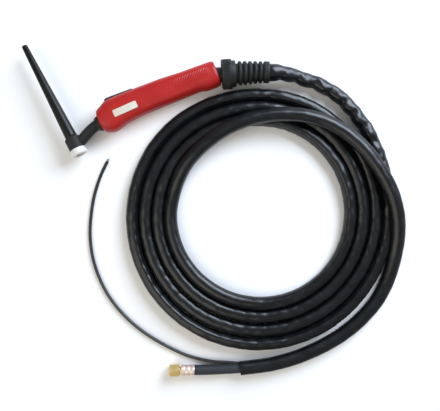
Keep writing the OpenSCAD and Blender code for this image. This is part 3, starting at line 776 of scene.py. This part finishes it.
def head_cover():
    """Rubber moulding over the head and the neck, grown together with soft corners."""
    body = [
        [0.05, -HEAD_HALF], [HEAD_R - 0.4, -HEAD_HALF], [HEAD_R, -HEAD_HALF + 0.5],
        [HEAD_R, HEAD_HALF - 2.2], [HEAD_R - 0.5, HEAD_HALF - 1.5], [7.8, HEAD_HALF],
        [0.05, HEAD_HALF],
    ]
    piece = lathe("head_rubber", body, HEAD_CENTRE, HEAD_AXIS, 64)
    route = smooth_path(NECK_ROUTE, 1.5) + BALL
    rings = tube_rings(route, NECK_R, 40)
    neck = make_object("neck", rings, loft_faces(len(rings), 40))
    cut(piece, neck, "UNION")
    remesh = piece.modifiers.new("remesh", "REMESH")
    remesh.mode = "VOXEL"
    remesh.voxel_size = CELL * MM
    relax = piece.modifiers.new("relax", "SMOOTH")
    relax.factor = 0.5
    relax.iterations = RELAX_STEPS
    apply_modifiers(piece)
    bore = lathe("bore", [[CORE_R, -12], [CORE_R, 12]], HEAD_CENTRE, HEAD_AXIS, 48)
    return drop_slivers(cut(piece, bore))


finish_piece(head_cover(), "handle", "black_rubber", "head_moulding", sharp=50)

cuff_axis = np.array([-1.0, 0, 0])
cuff_origin = BALL + np.array([-149.4, -4.75, 0])
cuff_profile = [
    [7.1, 0], [9.8, 0], [10, 0.3], [9.9, 1.6], [9.1, 3.4], [8.3, 5], [7.9, 5.9], [7.5, 6.2],
    [7.1, 6.2],
]
cuff = lathe("neck_cuff_rubber", cuff_profile, cuff_origin, cuff_axis, 56, ring=True)
finish_piece(cuff, "handle", "black_rubber", "neck_cuff")

gasket_end = -HEAD_HALF - 8.4
gasket_profile = [
    [5.8, -HEAD_HALF], [9.3, -HEAD_HALF], [9.5, -HEAD_HALF - 0.2], [9.5, -HEAD_HALF - 3.3],
    [10.2, -HEAD_HALF - 3.9], [10.3, -HEAD_HALF - 4.2], [10.3, gasket_end + 1.8],
    [10.0, gasket_end + 1.2], [8.9, gasket_end + 0.15], [8.5, gasket_end],
    [6.2, gasket_end], [5.8, gasket_end + 0.4],
]
gasket = lathe("white_gasket", gasket_profile, HEAD_CENTRE, HEAD_AXIS, 72, ring=True, sharp=30)
finish_piece(gasket, "handle", "white_ptfe", "cup_gasket")

CAP_BASE, CAP_TIP = 8.8, 136.8
cap_profile = [
    [6.9, CAP_BASE], [7.25, CAP_BASE], [7.45, CAP_BASE + 0.25], [7.5, CAP_BASE + 0.7],
    [7.35, CAP_BASE + 6], [5.6, CAP_BASE + 62], [3.68, CAP_TIP - 2.2], [3.6, CAP_TIP - 1.1],
    [3.3, CAP_TIP - 0.45], [2.75, CAP_TIP - 0.1], [2.1, CAP_TIP], [0.05, CAP_TIP],
    [0.05, CAP_TIP - 3], [2.2, CAP_TIP - 3], [2.2, CAP_BASE + 7], [5.1, CAP_BASE + 7],
    [5.1, CAP_BASE + 1.6], [6.9, CAP_BASE + 1.6],
]
cap = lathe("long_cap", cap_profile, HEAD_CENTRE, HEAD_AXIS, 72, ring=True, sharp=30)
finish_piece(cap, "cap", "cap_black", "back_cap")


# ---------- Collar and bellows ----------

COLLAR_R = 18.45
KNURL = (15.2, 22.6)
KNURL_COUNT = 64
KNURL_DEPTH = 0.55


def knurl(distance, angle):
    """Fine ribs along the collar's front band."""
    groove = (0.5 + 0.5 * np.cos(KNURL_COUNT * angle)) ** 0.7
    return -KNURL_DEPTH * window(distance, *KNURL, 0.7) * groove


collar_profile = [[9.4, 13.8], [16.6, 13.8], [17.5, 14.2], [18.2, 14.9]]
collar_profile += [[COLLAR_R, d] for d in np.arange(15.3, 22.7, 0.6)]
collar_profile += [
    [COLLAR_R, 23.2], [COLLAR_R, 25.6], [18.2, 26.4], [17.5, 26.8], [16.5, 26.9], [16.3, 27.3],
    [16.3, 30.6], [16.0, 31.3], [15.4, 31.6], [9.0, 31.6], [9.0, 26.8], [9.4, 26.8],
]
collar = lathe("knurled_collar", collar_profile, BALL, CABLE_AXIS, 6 * KNURL_COUNT,
               ring=True, ripple=knurl)
finish_piece(collar, "cable_end", "black_rubber", "ribbed_collar")

COLLAR_REAR, BELLOWS_REAR, BELLOWS_BEND = 31.6, 73.5, math.radians(4.5)
FIRST_RIB, LAST_RIB, RIBS = 36.9, 62.5, 5
RIB_FIRST_R, RIB_LAST_R, RIB_DEPTH = 15.0, 13.6, 2.9
# A rib's half width, as a share of half the pitch
RIB_SHARE = 0.78
# The smooth ring at the rear: its start, its middle, its half width and its radius
RING_START, RING_MIDDLE, RING_HALF, RING_R = 66.4, 69.6, 3.4, 13.3


def axis_line(d):
    """Points on the cable's bent axis at distances d from the ball's centre."""
    straight = np.minimum(d, COLLAR_REAR)
    bent = np.maximum(0, d - COLLAR_REAR)
    chord = -(SWIVEL_REST + BELLOWS_BEND * bent / (BELLOWS_REAR - COLLAR_REAR) / 2)
    return BALL + np.stack([
        straight * math.cos(SWIVEL_REST) + bent * np.cos(chord),
        -straight * math.sin(SWIVEL_REST) + bent * np.sin(chord),
        np.zeros(len(d)),
    ], axis=1)


def bellows_radius(d):
    pitch = (LAST_RIB - FIRST_RIB) / (RIBS - 1)
    nearest = np.clip(np.round((d - FIRST_RIB) / pitch), 0, RIBS - 1)
    away = np.abs(d - FIRST_RIB - nearest * pitch) / (pitch / 2)
    rib = RIB_FIRST_R + (RIB_LAST_R - RIB_FIRST_R) * nearest / (RIBS - 1)
    bulge = np.sqrt(np.clip(1 - (away / RIB_SHARE) ** 2, 0, 1))
    ribbed = rib - RIB_DEPTH * (1 - bulge)
    ring = RING_R - 0.9 * np.clip(np.abs(d - RING_MIDDLE) / RING_HALF - 0.35, 0, 1) ** 2
    return np.where(d > RING_START, ring, ribbed)


bellows_d = np.concatenate([
    np.arange(COLLAR_REAR - 0.5, RING_START, 0.32), [RING_START - 0.01],
    np.arange(RING_START + 0.2, BELLOWS_REAR + 0.01, 0.3),
])
bellows_rings = tube_rings(axis_line(bellows_d), bellows_radius(bellows_d), 72)
bellows_piece = make_object("bellows_rubber", bellows_rings, loft_faces(len(bellows_rings), 72))
finish_piece(bellows_piece, "cable_end", "black_rubber", "bellows", sharp=45)


# ---------- Floor and light, in metres ----------

LIGHT_AIM = Vector((0.02, -0.2, 0))
FLOOR_REACH = 4.0
FLOOR_Z = -0.0003


def area_light(name, place, size, power, colour):
    data = bpy.data.lights.new(name, "AREA")
    data.size = size
    data.energy = power
    data.color = colour
    lamp = bpy.data.objects.new(name, data)
    lamp.location = place
    aim = LIGHT_AIM - Vector(place)
    lamp.rotation_euler = aim.to_track_quat("-Z", "Y").to_euler()
    bpy.context.scene.collection.objects.link(lamp)


area_light("key", (0.92, 0.26, 0.70), 0.8, 25, (0.74, 0.84, 1.0))
area_light("fill", (-0.9, -0.5, 1.0), 1.4, 11, (1.0, 0.95, 0.84))

world = bpy.data.worlds.new("studio")
world.use_nodes = True
world.node_tree.nodes["Background"].inputs["Color"].default_value = (1, 1, 1, 1)
world.node_tree.nodes["Background"].inputs["Strength"].default_value = 0.3
bpy.context.scene.world = world
bpy.context.scene.view_settings.view_transform = "Standard"

floor_mesh = bpy.data.meshes.new("floor")
floor_corners = [(FLOOR_REACH * x, FLOOR_REACH * y, FLOOR_Z)
                 for x, y in ((-1, -1), (1, -1), (1, 1), (-1, 1))]
floor_mesh.from_pydata(floor_corners, [], [(0, 1, 2, 3)])
floor_paint = surface("floor_paint", (0.93, 0.93, 0.925), (0.94, 0.94, 0.935), (0.7, 0.8),
                      blotch=3, grain=200, bump=0.00001)
floor_mesh.materials.append(floor_paint)
floor = bpy.data.objects.new("floor", floor_mesh)
bpy.context.scene.collection.objects.link(floor)
